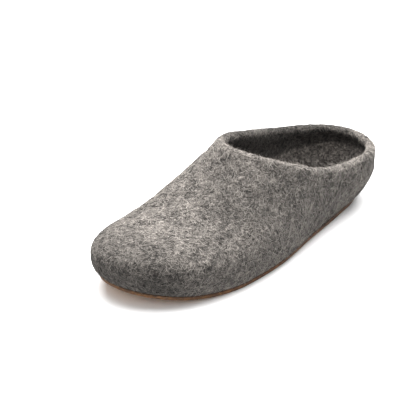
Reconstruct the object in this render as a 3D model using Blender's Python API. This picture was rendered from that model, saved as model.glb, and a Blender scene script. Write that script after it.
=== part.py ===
# Wool felt slipper for a left foot: a moulded felt upper, a felt insole and a thin leather outsole.
# Metres. The toe points to -Y, the outer side of the foot is +X, and the outsole stands on z = 0.

import math
from collections import namedtuple

import bmesh
import bpy
import numpy as np

MM = 0.001

# Sizes of the finished slipper, taken over the felt.
LENGTH = 270 * MM
BALL_WIDTH = 104 * MM
INSTEP_HEIGHT = 75 * MM
HEEL_HEIGHT = 40 * MM
FELT_THICKNESS = 5.5 * MM
FLOOR_THICKNESS = 5 * MM
INSOLE_THICKNESS = 4 * MM
SOLE_THICKNESS = 3 * MM
SOLE_SHOWS = 0.5 * MM
FIT_GAP = 0.3 * MM

# Where the sole leaves the ground, and how far it has risen at each end.
TOE_SPRING, TOE_SPRING_LENGTH = 11 * MM, 85 * MM
HEEL_SPRING, HEEL_SPRING_LENGTH = 3 * MM, 36 * MM
ARCH_LIFT, ARCH_START, ARCH_END = 1 * MM, 120 * MM, 190 * MM

# Plan of the widest line: how far the side curves run back from each end, and where the ends lie across.
TOE_TIP_ACROSS, HEEL_TIP_ACROSS = -0.05, -0.015
LATERAL_TOE_CURVE, MEDIAL_TOE_CURVE, HEEL_CURVE = 92 * MM, 68 * MM, 43 * MM
LATERAL_TOE_POWER, MEDIAL_TOE_POWER, HEEL_POWER = 2.0, 2.2, 2.1

# Side view of the ends: how far the toe box and the heel round over.
TOE_BOX_CURVE, TOE_BOX_POWER = 34 * MM, 2.2
HEEL_BACK_CURVE, HEEL_BACK_POWER = 30 * MM, 2.6

# The front of the opening, and how gently its edge spreads out from there.
THROAT_ALONG = 123 * MM
THROAT_SOFTNESS = 45 * MM

# The wall is drawn out from a line inside the foot, which ends this far from the toe and the heel.
CORE_FROM_TOE, CORE_FROM_HEEL = 70 * MM, 38 * MM
# The ridge runs into the two tips over this length.
TIP_RUN_IN = 60 * MM
# The inner bottom corner turns in by this share of the outer one.
INNER_TURN = 0.8

# along is a share of LENGTH from the toe. lateral, medial and ridge are shares of BALL_WIDTH from the
# centre line. girth (the widest line) and crown (the top of the closed last) are shares of INSTEP_HEIGHT.
# roundness and fullness are the powers of the cross-section, across and up.
Section = namedtuple("Section", "along lateral medial ridge girth crown roundness fullness")
SECTIONS = (
    Section(0.00, 0.555, 0.450, -0.05, 0.24, 0.56, 2.6, 2.4),
    Section(0.11, 0.555, 0.450, -0.07, 0.24, 0.55, 2.6, 2.4),
    Section(0.22, 0.540, 0.455, -0.08, 0.26, 0.56, 2.5, 2.3),
    Section(0.33, 0.535, 0.465, -0.08, 0.28, 0.68, 2.4, 2.1),
    Section(0.44, 0.525, 0.445, -0.07, 0.31, 0.96, 2.0, 1.7),
    Section(0.56, 0.485, 0.405, -0.05, 0.34, 1.27, 1.8, 1.6),
    Section(0.67, 0.430, 0.395, -0.03, 0.37, 1.40, 2.1, 1.8),
    Section(0.78, 0.400, 0.390, -0.01, 0.40, 1.80, 2.4, 2.1),
    Section(0.89, 0.380, 0.365, -0.01, 0.41, 2.25, 2.6, 2.4),
    Section(1.00, 0.380, 0.365, -0.01, 0.41, 2.60, 2.6, 2.4),
)

# Height of the opening's edge. back is a share of the way from the throat to the heel. lateral and medial
# are the drop on each side, as shares of the way down from INSTEP_HEIGHT to HEEL_HEIGHT.
Collar = namedtuple("Collar", "back lateral medial")
COLLAR = (
    Collar(0.00, 0.00, 0.00),
    Collar(0.17, 0.24, 0.15),
    Collar(0.34, 0.54, 0.39),
    Collar(0.54, 0.76, 0.67),
    Collar(0.75, 0.91, 0.88),
    Collar(1.00, 1.00, 1.00),
)

# How far the outsole's edge lies inside the widest line of the felt.
Inset = namedtuple("Inset", "along inset")
SOLE_INSET = (
    Inset(0.00, 6.0 * MM),
    Inset(0.11, 4.5 * MM),
    Inset(0.33, 3.5 * MM),
    Inset(0.56, 5.5 * MM),
    Inset(0.74, 10 * MM),
    Inset(0.89, 15 * MM),
    Inset(1.00, 15 * MM),
)

# How finely the curved faces are cut.
HALF_SPOKES = 40
WALL_ROWS = 14
ROW_CROWDING = 1.5
TURN_ROWS = 5
RIM_ROWS = 6
FLOOR_CELLS = 6
RAYS = 61

TOE_Y, HEEL_Y = -LENGTH / 2, LENGTH / 2


def smooth_curve(xs, ys):
    """The natural cubic spline through the points, as a function."""
    xs, ys = np.asarray(xs, float), np.asarray(ys, float)
    steps = np.diff(xs)
    last = len(xs) - 1
    system = np.eye(last + 1)
    bend = np.zeros(last + 1)
    for i in range(1, last):
        system[i, i - 1 : i + 2] = steps[i - 1], 2 * (steps[i - 1] + steps[i]), steps[i]
        bend[i] = 6 * ((ys[i + 1] - ys[i]) / steps[i] - (ys[i] - ys[i - 1]) / steps[i - 1])
    second = np.linalg.solve(system, bend)

    def at(x):
        x = np.clip(x, xs[0], xs[-1])
        i = np.clip(np.searchsorted(xs, x) - 1, 0, last - 1)
        after, before, step = x - xs[i], xs[i + 1] - x, steps[i]
        cubic = (second[i] * before**3 + second[i + 1] * after**3) / (6 * step)
        start = (ys[i] / step - second[i] * step / 6) * before
        end = (ys[i + 1] / step - second[i + 1] * step / 6) * after
        return cubic + start + end

    return at


def section_curve(column, size=1.0):
    along = [row.along * LENGTH for row in SECTIONS]
    return smooth_curve(along, [getattr(row, column) * size for row in SECTIONS])


LATERAL = section_curve("lateral", BALL_WIDTH)
MEDIAL = section_curve("medial", BALL_WIDTH)
RIDGE = section_curve("ridge", BALL_WIDTH)
GIRTH = section_curve("girth", INSTEP_HEIGHT)
CROWN = section_curve("crown", INSTEP_HEIGHT)
ROUNDNESS = section_curve("roundness")
FULLNESS = section_curve("fullness")
LATERAL_DROP = smooth_curve([row.back for row in COLLAR], [row.lateral for row in COLLAR])
MEDIAL_DROP = smooth_curve([row.back for row in COLLAR], [row.medial for row in COLLAR])


def rounded_end(distance, reach, power):
    """0 at the end and 1 from reach on, along a quarter of a superellipse."""
    left = np.clip(1 - distance / reach, 0, 1)
    return np.clip(1 - left**power, 0, 1) ** (1 / power)


def eased(share):
    share = np.clip(share, 0, 1)
    return share * share * (3 - 2 * share)


def widest_edges(y):
    """x of the lateral and of the medial edge of the widest line."""
    from_toe, from_heel = y - TOE_Y, HEEL_Y - y
    toe_tip, heel_tip = TOE_TIP_ACROSS * BALL_WIDTH, HEEL_TIP_ACROSS * BALL_WIDTH
    edges = []
    for full, reach, power in (
        (LATERAL(from_toe), LATERAL_TOE_CURVE, LATERAL_TOE_POWER),
        (-MEDIAL(from_toe), MEDIAL_TOE_CURVE, MEDIAL_TOE_POWER),
    ):
        toe = toe_tip + (full - toe_tip) * rounded_end(from_toe, reach, power)
        heel = heel_tip + (full - heel_tip) * rounded_end(from_heel, HEEL_CURVE, HEEL_POWER)
        edges.append(np.where(from_heel < HEEL_CURVE, heel, toe))
    return edges


def ridge_x(y):
    """x of the line along the top of the foot, run into the two tips."""
    toe_tip, heel_tip = TOE_TIP_ACROSS * BALL_WIDTH, HEEL_TIP_ACROSS * BALL_WIDTH
    x = toe_tip + (RIDGE(y - TOE_Y) - toe_tip) * eased((y - TOE_Y) / TIP_RUN_IN)
    return heel_tip + (x - heel_tip) * eased((HEEL_Y - y) / TIP_RUN_IN)


def ground_gap(y):
    """Height of the outsole's underside: toe spring, arch and heel spring."""
    from_toe, from_heel = y - TOE_Y, HEEL_Y - y
    toe = np.clip(1 - from_toe / TOE_SPRING_LENGTH, 0, 1)
    heel = np.clip(1 - from_heel / HEEL_SPRING_LENGTH, 0, 1)
    arch = np.clip((from_toe - ARCH_START) / (ARCH_END - ARCH_START), 0, 1)
    return TOE_SPRING * toe**2 + HEEL_SPRING * heel**2 + ARCH_LIFT * np.sin(math.pi * arch) ** 2


def felt_under(y):
    """Height of the felt's underside."""
    return ground_gap(y) + SOLE_THICKNESS + FIT_GAP


def felt_floor(y):
    """Height of the felt's floor inside."""
    return felt_under(y) + FLOOR_THICKNESS


def girth_z(y):
    return ground_gap(y) + GIRTH(y - TOE_Y)


def crown_z(y):
    girth = girth_z(y)
    toe = rounded_end(y - TOE_Y, TOE_BOX_CURVE, TOE_BOX_POWER)
    heel = rounded_end(HEEL_Y - y, HEEL_BACK_CURVE, HEEL_BACK_POWER)
    return girth + (CROWN(y - TOE_Y) - girth) * toe * heel


def section_at(y):
    """(ridge, lateral and medial half widths, girth, crown, roundness, fullness) of the cross-section at y."""
    lateral, medial = widest_edges(y)
    ridge = ridge_x(y)
    along = y - TOE_Y
    return ridge, lateral - ridge, ridge - medial, girth_z(y), crown_z(y), ROUNDNESS(along), FULLNESS(along)


def outside_last(points):
    """Positive where a point above the girth lies outside the closed last."""
    x, y, z = points[..., 0], points[..., 1], points[..., 2]
    inside_y = np.clip(y, TOE_Y + 1e-6, HEEL_Y - 1e-6)
    ridge, lateral, medial, girth, crown, roundness, fullness = section_at(inside_y)
    half = np.maximum(np.where(x > ridge, lateral, medial), 1e-6)
    across = np.abs(x - ridge) / half
    up = np.clip(z - girth, 0, None) / np.maximum(crown - girth, 1e-6)
    return np.where(y == inside_y, across**roundness + up**fullness - 1, 1.0)


def last_surface(cores, directions):
    """Where each ray from inside leaves the last."""
    near = np.zeros(cores.shape[:-1])
    far = np.full(cores.shape[:-1], LENGTH)
    for _ in range(40):
        middle = (near + far) / 2
        out = outside_last(cores + directions * middle[..., None]) > 0
        far = np.where(out, middle, far)
        near = np.where(out, near, middle)
    return cores + directions * near[..., None]


def collar_z(y, side):
    back = (y - TOE_Y - THROAT_ALONG) / (LENGTH - THROAT_ALONG)
    drop = np.where(side > 0, LATERAL_DROP(back), MEDIAL_DROP(back))
    return crown_z(TOE_Y + THROAT_ALONG) - drop * (INSTEP_HEIGHT - HEEL_HEIGHT)


def collar_points(y, side):
    """Points of the opening's edge, on the lateral (side 1) or the medial (side -1) wall."""
    ridge, lateral, medial, girth, crown, roundness, fullness = section_at(y)
    z = np.minimum(collar_z(y, side), crown)
    up = np.clip((z - girth) / np.maximum(crown - girth, 1e-6), 0, 1)
    half = np.where(side > 0, lateral, medial)
    across = np.clip(1 - up**fullness, 0, 1) ** (1 / roundness)
    return np.stack([ridge + side * half * across, y, z], -1)


def heel_rim_y():
    """Where the closed last passes the height of the collar at the back."""
    y = np.linspace(HEEL_Y - HEEL_BACK_CURVE, HEEL_Y - 1e-5, 4001)
    return y[np.flatnonzero(crown_z(y) > collar_z(y, 1))[-1]]


def unit(vectors):
    return vectors / np.linalg.norm(vectors, axis=-1, keepdims=True)


def points_along(line, shares):
    """Points of the polyline at these shares of its length."""
    run = np.concatenate([[0], np.cumsum(np.linalg.norm(np.diff(line, axis=0), axis=1))])
    want = shares * run[-1]
    return np.stack([np.interp(want, run, line[:, axis]) for axis in range(line.shape[1])], -1)


def widest_ring():
    """The widest line from the toe, back along the lateral side and home along the medial one."""
    y = -LENGTH / 2 * np.cos(np.linspace(0, math.pi, 2001))
    lateral, medial = widest_edges(y)
    step = (np.hypot(np.diff(lateral), np.diff(y)) + np.hypot(np.diff(medial), np.diff(y))) / 2
    run = np.concatenate([[0], np.cumsum(step)])
    y = np.interp(np.linspace(0, run[-1], HALF_SPOKES + 1), run, y)
    lateral, medial = widest_edges(y)
    ring_x = np.concatenate([lateral, medial[-2:0:-1]])
    ring_y = np.concatenate([y, y[-2:0:-1]])
    side = np.concatenate([np.ones(HALF_SPOKES + 1), -np.ones(HALF_SPOKES - 1)])
    return np.stack([ring_x, ring_y, girth_z(ring_y)], -1), side


def wall_lines(widest, side):
    """For each spoke, the felt's outer face from the widest line up to the collar: (spokes, rows, 3)."""
    y = widest[:, 1]
    throat, heel = TOE_Y + THROAT_ALONG, heel_rim_y()

    def spread(value):
        value = value - throat
        return (value + np.sqrt(value**2 + THROAT_SOFTNESS**2)) / 2

    share = (spread(y) - spread(TOE_Y)) / (spread(HEEL_Y) - spread(TOE_Y))
    collar = collar_points(throat + (heel - throat) * share, side)
    core_y = np.clip(y, TOE_Y + CORE_FROM_TOE, HEEL_Y - CORE_FROM_HEEL)
    core = np.stack([ridge_x(core_y), core_y, girth_z(core_y)], -1)
    first, final = unit(widest - core), unit(collar - core)
    angle = np.arccos(np.clip((first * final).sum(1), -1, 1))[:, None, None]
    turn = np.linspace(0, 1, RAYS)[None, :, None]
    directions = np.sin((1 - turn) * angle) * first[:, None] + np.sin(turn * angle) * final[:, None]
    directions = directions / np.sin(angle)
    lines = last_surface(np.broadcast_to(core[:, None], directions.shape), directions)
    shares = np.linspace(0, 1, WALL_ROWS) ** ROW_CROWDING
    return np.array([points_along(line, shares) for line in lines])


def plan_normals(ring):
    """Outward normals, in plan, of a ring that starts at the toe and runs along the lateral side."""
    along = np.roll(ring, -1, 0) - np.roll(ring, 1, 0)
    return unit(np.stack([along[:, 1], -along[:, 0]], -1))


def inset_ring(widest, inset, height):
    """The widest line moved inwards in plan, at the height that a function of y gives."""
    flat = widest[:, :2] - plan_normals(widest) * inset[:, None]
    return np.column_stack([flat, height(flat[:, 1])])


def turned_under(widest, out, inset, height):
    """Rings of the quarter turn from the inset edge at the bottom up to the widest line, left out itself."""
    rings = []
    for turn in np.linspace(0, math.pi / 2, TURN_ROWS + 1)[:-1]:
        ring = inset_ring(widest, out + inset * (1 - math.sin(turn)), height)
        ring[:, 2] += (widest[:, 2] - ring[:, 2]) * (1 - math.cos(turn))
        rings.append(ring)
    return rings


def wall_normals(lines):
    """Outward normals of the wall lines."""
    around = np.roll(lines, -1, 0) - np.roll(lines, 1, 0)
    up = np.gradient(lines, axis=1)
    return unit(np.cross(around, up))


def rim_rings(collar, normals, up):
    """The rounded top of the wall, from the outer face over to the inner one."""
    radius = FELT_THICKNESS / 2
    rings = []
    for turn in np.linspace(0, math.pi, RIM_ROWS + 1)[1:-1]:
        offset = (math.cos(turn) - 1) * normals + math.sin(turn) * up
        rings.append(collar + radius * offset)
    return rings


def sole_inset(y):
    along = [row.along * LENGTH for row in SOLE_INSET]
    return smooth_curve(along, [row.inset for row in SOLE_INSET])(y - TOE_Y)


def bridge(faces, lower, upper):
    """Quads between two rings of vertex numbers."""
    count = len(lower)
    for i in range(count):
        j = (i + 1) % count
        faces.append((lower[i], lower[j], upper[j], upper[i]))


def cover(vertices, faces, ring, height):
    """A floor inside a ring, of straight rungs from the lateral to the medial side."""
    count, half = len(ring), len(ring) // 2
    rungs = []
    for i in range(1, half):
        start, end = np.array(vertices[ring[i]]), np.array(vertices[ring[count - i]])
        rung = [ring[i]]
        for cell in range(1, FLOOR_CELLS):
            point = start + (end - start) * cell / FLOOR_CELLS
            point[2] = height(point[1])
            vertices.append(tuple(point))
            rung.append(len(vertices) - 1)
        rung.append(ring[count - i])
        rungs.append(rung)
    for cell in range(FLOOR_CELLS):
        faces.append((ring[0], rungs[0][cell + 1], rungs[0][cell]))
        faces.append((ring[half], rungs[-1][cell], rungs[-1][cell + 1]))
    for front, back in zip(rungs, rungs[1:]):
        for cell in range(FLOOR_CELLS):
            faces.append((front[cell], front[cell + 1], back[cell + 1], back[cell]))


def solid_from_rings(name, rings, first_height, last_height, centre, material):
    """A closed body from a stack of rings, covered at both ends, with the widest line's box centred on x = 0."""
    vertices, faces, numbered = [], [], []
    for ring in rings:
        numbered.append(list(range(len(vertices), len(vertices) + len(ring))))
        vertices.extend(map(tuple, ring))
    for lower, upper in zip(numbered, numbered[1:]):
        bridge(faces, lower, upper)
    cover(vertices, faces, numbered[0], first_height)
    cover(vertices, faces, numbered[-1], last_height)
    mesh = bpy.data.meshes.new(name)
    mesh.from_pydata([(x - centre, y, z) for x, y, z in vertices], [], faces)
    shape = bmesh.new()
    shape.from_mesh(mesh)
    bmesh.ops.recalc_face_normals(shape, faces=shape.faces)
    shape.to_mesh(mesh)
    shape.free()
    mesh.materials.append(material)
    mesh.shade_smooth()
    mesh.set_sharp_from_angle(angle=math.radians(50))
    bpy.context.scene.collection.objects.link(bpy.data.objects.new(name, mesh))


def surface_material(name, colour, roughness):
    material = bpy.data.materials.new(name)
    material.use_nodes = True
    shader = material.node_tree.nodes["Principled BSDF"]
    shader.inputs["Base Color"].default_value = (*colour, 1)
    shader.inputs["Roughness"].default_value = roughness
    shader.inputs["Metallic"].default_value = 0
    return material


def upper_rings(widest, side, inset):
    lines = wall_lines(widest, side)
    normals = wall_normals(lines)
    up = unit(lines[:, -1] - lines[:, -2])
    inner = lines - FELT_THICKNESS * normals
    inner_widest = inset_ring(widest, np.full(len(widest), FELT_THICKNESS), girth_z)
    nothing = np.zeros(len(widest))
    rings = turned_under(widest, nothing, inset + SOLE_SHOWS, felt_under)
    rings += [lines[:, row] for row in range(WALL_ROWS)]
    rings += rim_rings(lines[:, -1], normals[:, -1], up)
    rings += [inner[:, row] for row in reversed(range(1, WALL_ROWS))]
    rings.append(inner_widest)
    rings += reversed(turned_under(widest, nothing + FELT_THICKNESS, inset * INNER_TURN, felt_floor))
    return rings


def plate_rings(widest, inset, under, thickness, low_edge, top_edge):
    """Four rings of a plate with its two edges broken."""
    rings = []
    for edge, rise in ((low_edge, 0), (0, low_edge), (0, thickness - top_edge), (top_edge, thickness)):
        rings.append(inset_ring(widest, inset + edge, lambda y, rise=rise: under(y) + rise))
    return rings


def make_upper(widest, side, inset, centre, felt):
    rings = upper_rings(widest, side, inset)
    solid_from_rings("upper", rings, felt_under, felt_floor, centre, felt)


def make_insole(widest, inset, centre, felt):
    clear = FELT_THICKNESS + inset * INNER_TURN + FIT_GAP
    bottom = lambda y: felt_floor(y) + FIT_GAP
    top = lambda y: felt_floor(y) + FIT_GAP + INSOLE_THICKNESS
    rings = plate_rings(widest, clear, bottom, INSOLE_THICKNESS, 0.5 * MM, 1.2 * MM)
    solid_from_rings("insole", rings, bottom, top, centre, felt)


def make_outsole(widest, inset, centre, leather):
    top = lambda y: ground_gap(y) + SOLE_THICKNESS
    rings = plate_rings(widest, inset, ground_gap, SOLE_THICKNESS, 0.6 * MM, 0.4 * MM)
    solid_from_rings("outsole", rings, ground_gap, top, centre, leather)


def main():
    for thing in list(bpy.data.objects):
        bpy.data.objects.remove(thing, do_unlink=True)
    widest, side = widest_ring()
    inset = sole_inset(widest[:, 1])
    centre = (widest[:, 0].min() + widest[:, 0].max()) / 2
    make_upper(widest, side, inset, centre, surface_material("grey wool felt", (0.20, 0.18, 0.16), 0.95))
    make_insole(widest, inset, centre, surface_material("dark felt insole", (0.13, 0.12, 0.11), 0.95))
    make_outsole(widest, inset, centre, surface_material("tan sole leather", (0.30, 0.15, 0.08), 0.7))


main()
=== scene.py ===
import math
from collections import namedtuple

import bmesh
import bpy
import numpy as np
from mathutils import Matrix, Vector, noise


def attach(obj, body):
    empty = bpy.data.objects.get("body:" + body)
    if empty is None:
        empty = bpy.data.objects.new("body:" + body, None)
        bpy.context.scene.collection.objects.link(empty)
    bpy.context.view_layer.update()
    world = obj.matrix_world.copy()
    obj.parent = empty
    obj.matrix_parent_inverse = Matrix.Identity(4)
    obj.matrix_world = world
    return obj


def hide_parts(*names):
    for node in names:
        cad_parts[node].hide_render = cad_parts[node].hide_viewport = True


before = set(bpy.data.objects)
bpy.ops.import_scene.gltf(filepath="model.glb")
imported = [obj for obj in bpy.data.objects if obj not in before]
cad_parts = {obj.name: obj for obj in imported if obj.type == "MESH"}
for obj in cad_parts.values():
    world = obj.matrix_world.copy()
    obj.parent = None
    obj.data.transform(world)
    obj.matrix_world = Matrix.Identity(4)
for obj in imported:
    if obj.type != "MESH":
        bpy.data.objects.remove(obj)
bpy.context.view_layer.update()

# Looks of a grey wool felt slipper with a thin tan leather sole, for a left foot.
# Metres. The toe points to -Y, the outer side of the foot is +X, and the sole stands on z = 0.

MM = 0.001

# Sizes of the finished slipper, over the felt, as in the part.
LENGTH = 270 * MM
BALL_WIDTH = 104 * MM
INSTEP_HEIGHT = 75 * MM
HEEL_HEIGHT = 40 * MM
FELT_THICKNESS = 5.5 * MM
FLOOR_THICKNESS = 5 * MM
INSOLE_THICKNESS = 4 * MM
SOLE_THICKNESS = 3 * MM
SOLE_SHOWS = 0.5 * MM
FIT_GAP = 0.3 * MM

TOE_SPRING, TOE_SPRING_LENGTH = 11 * MM, 85 * MM
HEEL_SPRING, HEEL_SPRING_LENGTH = 3 * MM, 36 * MM
ARCH_LIFT, ARCH_START, ARCH_END = 1 * MM, 120 * MM, 190 * MM

TOE_TIP_ACROSS, HEEL_TIP_ACROSS = -0.05, -0.015
LATERAL_TOE_CURVE, MEDIAL_TOE_CURVE, HEEL_CURVE = 92 * MM, 68 * MM, 43 * MM
LATERAL_TOE_POWER, MEDIAL_TOE_POWER, HEEL_POWER = 2.0, 2.2, 2.1

TOE_BOX_CURVE, TOE_BOX_POWER = 34 * MM, 2.2
HEEL_BACK_CURVE, HEEL_BACK_POWER = 30 * MM, 2.6

THROAT_ALONG = 123 * MM
THROAT_SOFTNESS = 45 * MM

CORE_FROM_TOE, CORE_FROM_HEEL = 70 * MM, 38 * MM
TIP_RUN_IN = 60 * MM
INNER_TURN = 0.8

Section = namedtuple("Section", "along lateral medial ridge girth crown roundness fullness")
SECTIONS = (
    Section(0.00, 0.555, 0.450, -0.05, 0.24, 0.56, 2.6, 2.4),
    Section(0.11, 0.555, 0.450, -0.07, 0.24, 0.55, 2.6, 2.4),
    Section(0.22, 0.540, 0.455, -0.08, 0.26, 0.56, 2.5, 2.3),
    Section(0.33, 0.535, 0.465, -0.08, 0.28, 0.68, 2.4, 2.1),
    Section(0.44, 0.525, 0.445, -0.07, 0.31, 0.96, 2.0, 1.7),
    Section(0.56, 0.485, 0.405, -0.05, 0.34, 1.27, 1.8, 1.6),
    Section(0.67, 0.430, 0.395, -0.03, 0.37, 1.40, 2.1, 1.8),
    Section(0.78, 0.400, 0.390, -0.01, 0.40, 1.80, 2.4, 2.1),
    Section(0.89, 0.380, 0.365, -0.01, 0.41, 2.25, 2.6, 2.4),
    Section(1.00, 0.380, 0.365, -0.01, 0.41, 2.60, 2.6, 2.4),
)

# How far the opening's edge has dropped on each side, from the throat back to the heel. The lateral side
# dips a little lower at mid-length than in the part.
Collar = namedtuple("Collar", "back lateral medial")
COLLAR = (
    Collar(0.00, 0.00, 0.00),
    Collar(0.17, 0.27, 0.15),
    Collar(0.34, 0.61, 0.39),
    Collar(0.54, 0.84, 0.67),
    Collar(0.75, 0.94, 0.88),
    Collar(1.00, 1.00, 1.00),
)

Inset = namedtuple("Inset", "along inset")
SOLE_INSET = (
    Inset(0.00, 6.0 * MM),
    Inset(0.11, 4.5 * MM),
    Inset(0.33, 3.5 * MM),
    Inset(0.56, 5.5 * MM),
    Inset(0.74, 10 * MM),
    Inset(0.89, 15 * MM),
    Inset(1.00, 15 * MM),
)

# How finely the visible felt and leather are cut.
HALF_SPOKES = 120
WALL_ROWS = 60
ROW_CROWDING = 1.25
TURN_ROWS = 12
RIM_ROWS = 14
FLOOR_CELLS = 16
RAYS = 121
RAY_HALVINGS = 34
RING_SAMPLES, HEEL_SAMPLES = 2001, 4001
TINY, HEEL_CLEARANCE = 1e-6, 1e-5

TOE_Y, HEEL_Y = -LENGTH / 2, LENGTH / 2

# The rolled rim is thicker than the wall below it, from this share of the wall's height on, and a soft
# groove runs under it.
RIM_SWELL = 1.6 * MM
RIM_SWELL_START, RIM_SWELL_REACH = 0.45, 0.5
RIM_GROOVE, GROOVE_BELOW, GROOVE_HALF_WIDTH = 0.7 * MM, 10 * MM, 4.5 * MM

# From here towards the heel the leather stands this much further out than in the part.
HEEL_LEATHER_SHOWS = 1.6 * MM
HEEL_LEATHER_START, HEEL_LEATHER_REACH = 10 * MM, 60 * MM

# The felt's turn from the wall to the sole, as a superellipse's power: 2 is a round quarter turn and 1 a
# straight slope. The toe's power goes over to the heel's along this reach.
TOE_TUCK, HEEL_TUCK = 2.0, 1.48
HEEL_TUCK_START, HEEL_TUCK_REACH = 0.42 * LENGTH, 0.33 * LENGTH

# The lumps of hand-felted wool and of cut leather: height and size in millimetres, and a seed.
Lumps = namedtuple("Lumps", "height size seed")
FELT_LUMPS = (Lumps(0.45, 26, 1), Lumps(0.30, 11, 2), Lumps(0.16, 4.5, 3))
RIM_LUMPS = (Lumps(0.30, 15, 4), Lumps(0.30, 7, 11))
FOOTBED_LUMPS = (Lumps(0.30, 14, 5), Lumps(0.14, 5, 6))
LEATHER_LUMPS = (Lumps(0.12, 17, 8), Lumps(0.06, 5, 9))
FREE_OF_SOLE = 7 * MM
RIM_LUMPS_REACH = 7 * MM

# By which share the groove's depth wanders, over lumps of this size.
GROOVE_UNEVENNESS, GROOVE_LUMP_SIZE, GROOVE_SEED = 0.8, 22 * MM, 12

# Soft hollows (depth above 0) and swellings (below 0) of the felt, each along a straight run between two
# places of the outer face, in millimetres.
Dent = namedtuple("Dent", "start end half_width depth")
DENTS = (
    Dent((40, -12, 44), (50, 20, 22), 13, 0.9),
    Dent((30, -38, 46), (47, -30, 24), 11, -0.6),
    Dent((-20, -62, 46), (18, -58, 44), 12, 0.5),
    Dent((-30, -110, 37), (-2, -118, 38), 6, 0.5),
    Dent((6, -104, 42), (24, -98, 40), 5, 0.45),
    Dent((-14, -92, 44), (2, -88, 44), 5, 0.4),
    Dent((36, 48, 34), (38, 92, 32), 7, 0.7),
    Dent((-40, 10, 40), (-38, 48, 30), 10, 0.7),
    Dent((-34, -60, 40), (-46, -40, 26), 9, 0.5),
    Dent((-8, 132, 30), (10, 131, 22), 8, 0.5),
)

# Patches of painted light (above 0) and painted shade (below 0) on the felt, placed in the same way.
Tint = namedtuple("Tint", "start end half_width amount")
LIGHT_AND_SHADE_PATCHES = (
    Tint((20, 2, 64), (36, -28, 44), 14, -0.17),
    Tint((8, -34, 60), (28, -52, 46), 16, -0.15),
    Tint((44, 10, 46), (47, 60, 26), 16, -0.08),
    Tint((-22, -64, 45), (-10, -48, 50), 12, 0.12),
    Tint((-16, -86, 42), (26, -86, 39), 12, 0.09),
    Tint((-8, -106, 40), (30, -98, 36), 8, 0.03),
    Tint((36, -54, 38), (40, -42, 36), 10, 0.06),
    Tint((-38, -98, 36), (-46, -80, 30), 12, -0.10),
)

# Loose wool on the rim and the inside, beside the outer face's 1. It thins out near the sole.
RIM_NAP, INSIDE_NAP, NAP_REACH = 2.2, 0.5, 4 * MM

# What is added to the felt's tone, above 0 paler: painted light on up-facing tops, a painted highlight
# on the rim, painted shade inside, and on the toe's front wall partly darker wool and partly painted
# shade.
TOP_PALE, RIM_PALE, INSIDE_PALE, TOE_WALL_PALE = 0.09, 0.12, -0.10, -0.15

# Painted shade: by how much the grey is darker inside, on steep walls, on the toe's front wall and its
# end seen from above, at the heel and towards the lateral side.
INSIDE_SHADE, WALL_SHADE, TOE_WALL_SHADE = 0.74, 0.19, 0.10
TOE_TOP_SHADE, HEEL_SHADE, LATERAL_SHADE = 0.22, 0.12, 0.13

# By how much it is lighter (above 0) or darker: along the rim's edge as a painted highlight, on that
# edge's medial side as painted shade, and all over the outside.
LIP_TINT, MEDIAL_LIP_TINT, OUTSIDE_TINT, LIP_REACH = 0.08, -0.56, -0.04, 4 * MM
# Painted light: the footbed's colour is made this many times as light.
FOOTBED_PAINTED_LIGHT = 1.35

# Colours. A pair runs from dark to pale.
CHARCOAL, GREY, BEIGE = (0.0105, 0.009, 0.0085), (0.172, 0.155, 0.141), (0.43, 0.392, 0.354)
PALE_WOOL = (0.142, 0.129, 0.117), (0.46, 0.420, 0.380)
DARK_WOOL = (0.008, 0.0075, 0.007), (0.050, 0.046, 0.042)
WOOL_SHEEN = (0.80, 0.76, 0.71, 1)
LEATHER_FACE, LEATHER_GRAIN = ((0.30, 0.155, 0.075), (0.43, 0.25, 0.13)), (0.50, 0.31, 0.18)
LEATHER_CUT, LEATHER_CHIP = ((0.030, 0.014, 0.007), (0.20, 0.098, 0.040)), (0.035, 0.018, 0.010)
# Painted shade along the top of the leather's edge, under the felt.
OVERHANG_SHADE_COLOUR = (0.045, 0.022, 0.012)
FLOOR_WHITE = (0.80, 0.80, 0.80, 1)

# The loose wool: fibres to the square metre, sizes in metres, the share by which lengths differ, and how
# much the fibres gather on the felt's light patches (above 0) or off them.
Fibres = namedtuple(
    "Fibres",
    "name per_area length length_spread thickness curl_size curl_depth height free_ends patchiness "
    "points seed",
)
PALE_LOCKS = Fibres(
    "pale_locks", 136000.0, 0.0042, 0.35, 0.00035, 0.003, 0.0032, 0.00006, 0.0005, 0.75, 5, 3
)
CHARCOAL_LOCKS = Fibres(
    "charcoal_locks", 128000.0, 0.0042, 0.35, 0.00036, 0.0032, 0.0032, 0.00006, 0.0005, -0.75, 5, 7
)
FINE_FUZZ = Fibres("fine_fuzz", 100000.0, 0.005, 0.35, 0.00014, 0.003, 0.002, 0.0001, 0.0021, 0.0, 6, 12)
COARSE_HAIRS = Fibres(
    "coarse_hairs", 16000.0, 0.011, 0.35, 0.0003, 0.006, 0.005, 0.0002, 0.0012, 0.0, 8, 17
)
FOOTBED_FUZZ = Fibres(
    "footbed_fuzz", 90000.0, 0.006, 0.35, 0.00028, 0.0035, 0.003, 0.00005, 0.0006, 0.0, 6, 21
)

# Light: one big soft box above and behind, and an even white studio.
SOFTBOX_PLACE, SOFTBOX_SIDE, SOFTBOX_POWER = (-0.36, 0.42, 1.45), 2.0, 111
STUDIO_STRENGTH = 0.95
FLOOR_REACH = 6

# The camera, as fitted to the photograph's outlines.
CAMERA_AZIMUTH, CAMERA_ELEVATION = 44.03, 27.37
CAMERA_DISTANCE = 1.102
CAMERA_TARGET = (-0.0275, -0.0203, 0.030)
CAMERA_LENS = 133.2


# Shape of the last, the felt and the sole, as in the part apart from the constants named above.


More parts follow.
